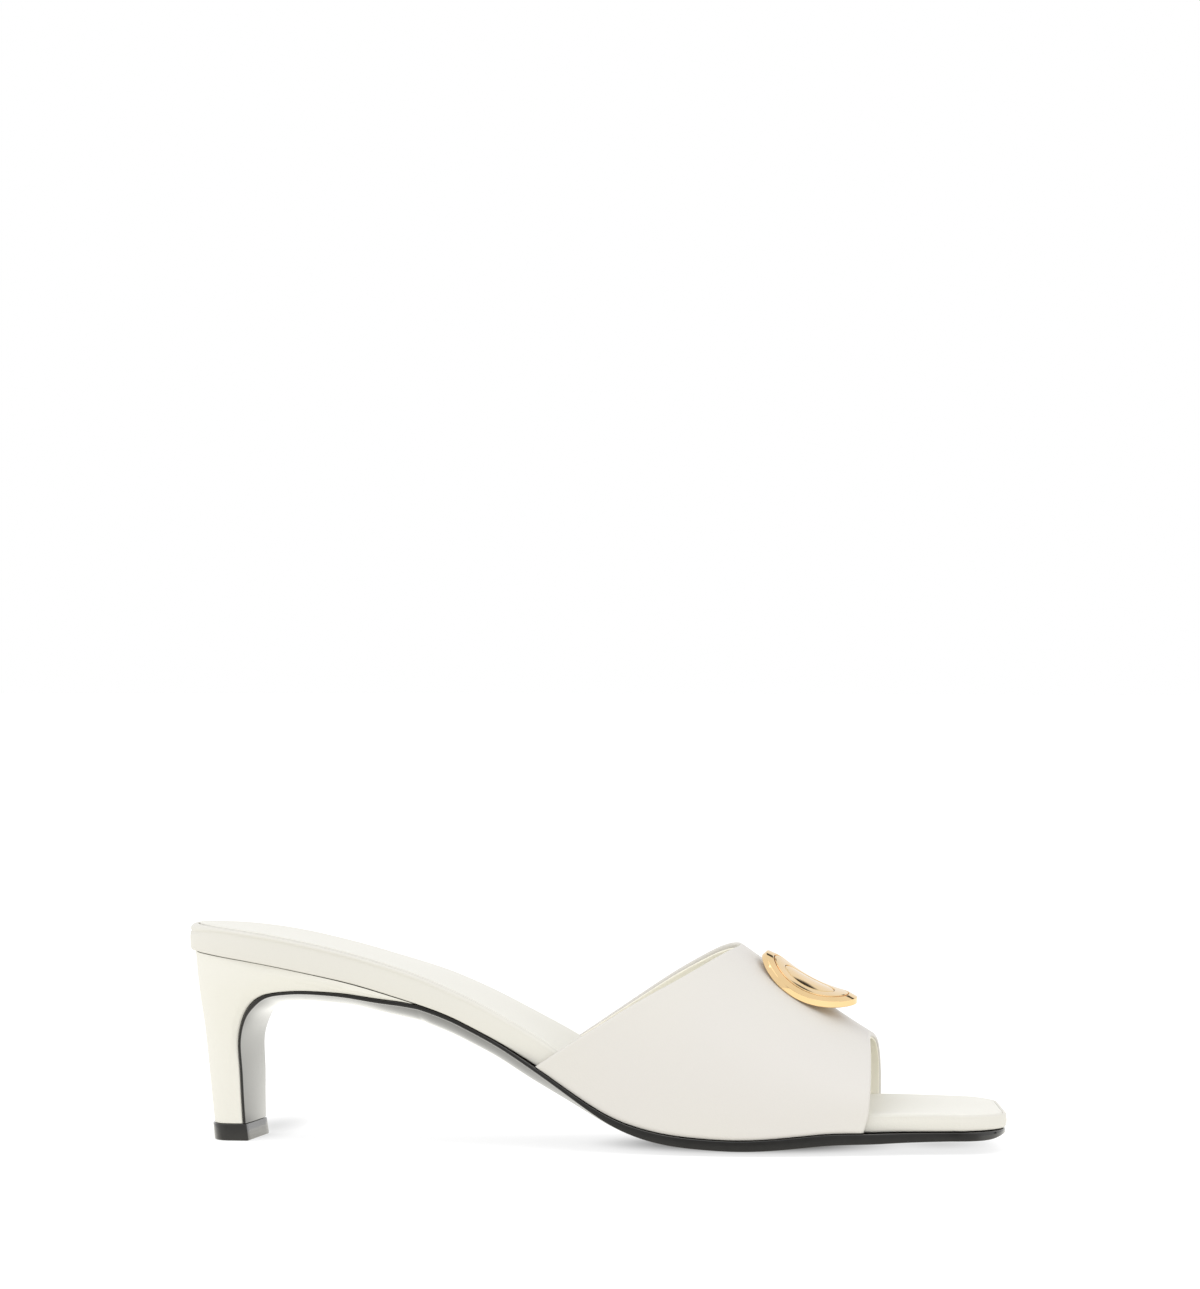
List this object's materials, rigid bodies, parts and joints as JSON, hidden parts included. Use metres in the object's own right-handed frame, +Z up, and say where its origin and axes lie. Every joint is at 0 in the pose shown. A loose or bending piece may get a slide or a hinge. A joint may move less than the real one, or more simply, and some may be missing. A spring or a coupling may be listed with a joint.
{
  "type": "heeled slide sandal",
  "caption": "Right-foot leather mule with an open square toe, a broad vamp with an oval metal ornament, a low flared heel and a black sole.",
  "frame": {"origin": "centre of the shoe's bounding box on the ground, between the toe and the back of the heel seat", "axes": "+X towards the toe, +Y towards the inner (medial) side of the right foot, +Z up from the ground"},
  "size_m": [0.2408, 0.082, 0.0635],
  "materials": {
    "sole_black": "polished",
    "footbed_leather": "smooth satin",
    "insole_leather": "fine matte",
    "heel_leather": "smooth satin",
    "lift_rubber": "satin",
    "upper_leather": "smooth satin",
    "ornament_metal": "polished pale gold"
  },
  "bodies": {
    "root": {"outsole": "sole_black", "footbed": "footbed_leather", "insole": "insole_leather", "heel": "heel_leather", "top_lift": "lift_rubber", "upper": "upper_leather", "ornament": "ornament_metal"}
  },
  "joints": []
}
